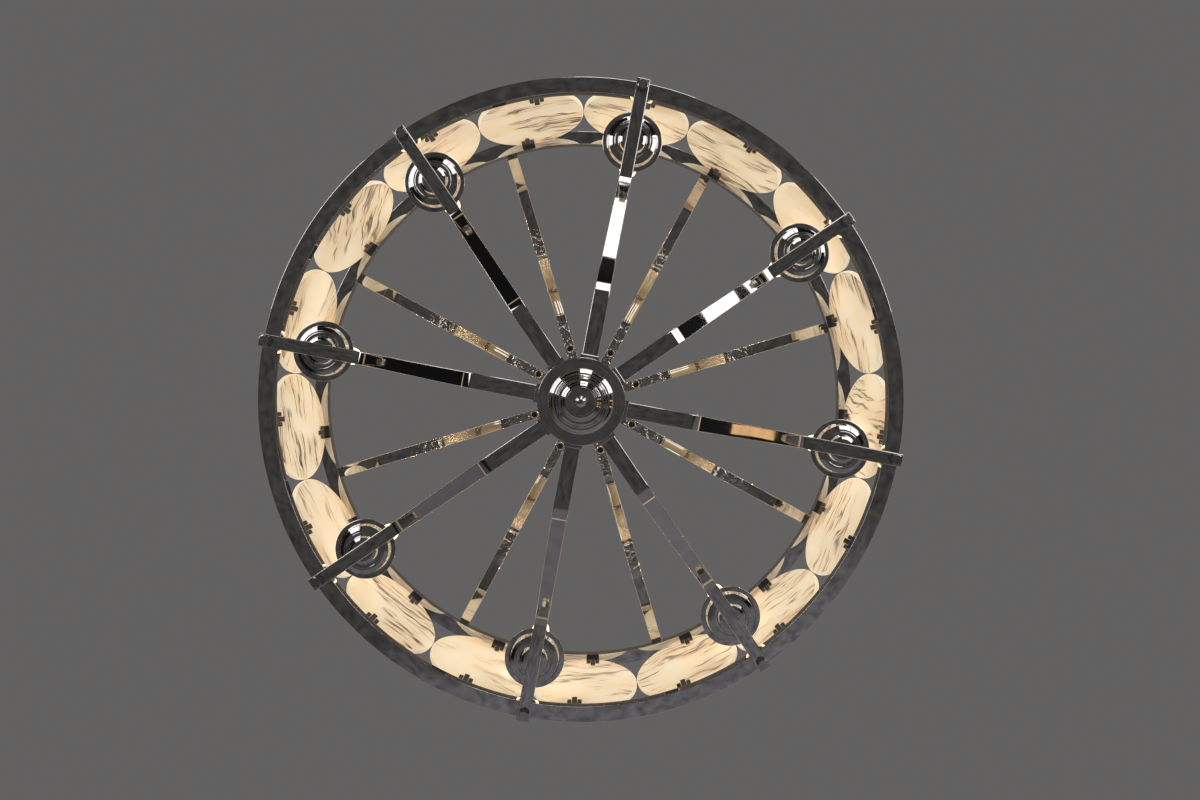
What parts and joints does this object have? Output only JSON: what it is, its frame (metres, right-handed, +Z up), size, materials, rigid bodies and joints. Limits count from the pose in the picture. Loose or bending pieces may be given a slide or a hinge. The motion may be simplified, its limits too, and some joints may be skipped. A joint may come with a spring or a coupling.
{
  "type": "chandelier",
  "caption": "Two-ring wheel chandelier: upright alabaster discs clipped between flat rings, bent arms, stepped hub, candle bulbs in metal cups and a stem with a sliding canopy.",
  "frame": {"origin": "on the ceiling, at the middle of the ceiling bar's top face; the lamp's axis passes through it", "axes": "+Z up along the stem, out of the ceiling bar's top face; +X along the ceiling bar, over one lower arm"},
  "size_m": [1.1142, 1.1142, 1.1468],
  "materials": {
    "polished_metal": "polished nickel-chrome",
    "clip_metal": "polished, a little darker",
    "cup_metal": "spun and polished",
    "fasteners": "plated",
    "stone": "polished translucent alabaster",
    "candle_sleeve": "polished tube",
    "lampholder": "glazed",
    "bulb_cap": "plain",
    "bulb_glass": "clear",
    "cable": "matt",
    "terminal": "moulded",
    "hanger_steel": "zinc plated",
    "canopy_metal": "spun and polished"
  },
  "bodies": {
    "ceiling_mount": {"ceiling_bar": "hanger_steel", "hanger_fork": "hanger_steel", "upper_pin": "hanger_steel"},
    "swivel": {"swivel_block": "hanger_steel"},
    "fixture": {"lower_ring": "polished_metal", "upper_ring": "polished_metal", "lower_arm_1": "polished_metal", "lower_arm_2": "polished_metal", "lower_arm_3": "polished_metal", "lower_arm_4": "polished_metal", "lower_arm_5": "polished_metal", "lower_arm_6": "polished_metal", "lower_arm_7": "polished_metal", "lower_arm_8": "polished_metal", "upper_arm_1": "polished_metal", "upper_arm_2": "polished_metal", "upper_arm_3": "polished_metal", "upper_arm_4": "polished_metal", "upper_arm_5": "polished_metal", "upper_arm_6": "polished_metal", "upper_arm_7": "polished_metal", "upper_arm_8": "polished_metal", "hub_drum": "polished_metal", "hub_dome": "polished_metal", "finial": "polished_metal", "column": "polished_metal", "upper_hub": "polished_metal", "stem": "polished_metal", "disc_01": "stone", "disc_02": "stone", "disc_03": "stone", "disc_04": "stone", "disc_05": "stone", "disc_06": "stone", "disc_07": "stone", "disc_08": "stone", "disc_09": "stone", "disc_10": "stone", "disc_11": "stone", "disc_12": "stone", "disc_13": "stone", "disc_14": "stone", "disc_15": "stone", "disc_16": "stone", "disc_17": "stone", "disc_clips": "clip_metal", "arm_bolts": "fasteners", "hub_screws": "fasteners", "candle_cups": "cup_metal", "candle_sleeves": "candle_sleeve", "lampholders": "lampholder", "bulb_caps": "bulb_cap", "bulbs": "bulb_glass", "lamp_leads": "cable", "supply_cable": "cable", "terminals": "terminal", "stem_fork": "hanger_steel", "lower_pin": "hanger_steel"},
    "canopy": {"canopy": "canopy_metal", "canopy_collar": "canopy_metal"}
  },
  "joints": [
    {"name": "swing_x", "type": "hinge", "parent": "ceiling_mount", "child": "swivel", "pos_m": [0, 0, -0.026], "axis": [1, 0, 0], "range_deg": [-4, 4]},
    {"name": "swing_y", "type": "hinge", "parent": "swivel", "child": "fixture", "pos_m": [0, 0, -0.042], "axis": [0, 1, 0], "range_deg": [-4, 4]},
    {"name": "canopy_slide", "type": "slide", "parent": "fixture", "child": "canopy", "axis": [0, 0, 1], "range_m": [-0.415, 0]}
  ]
}
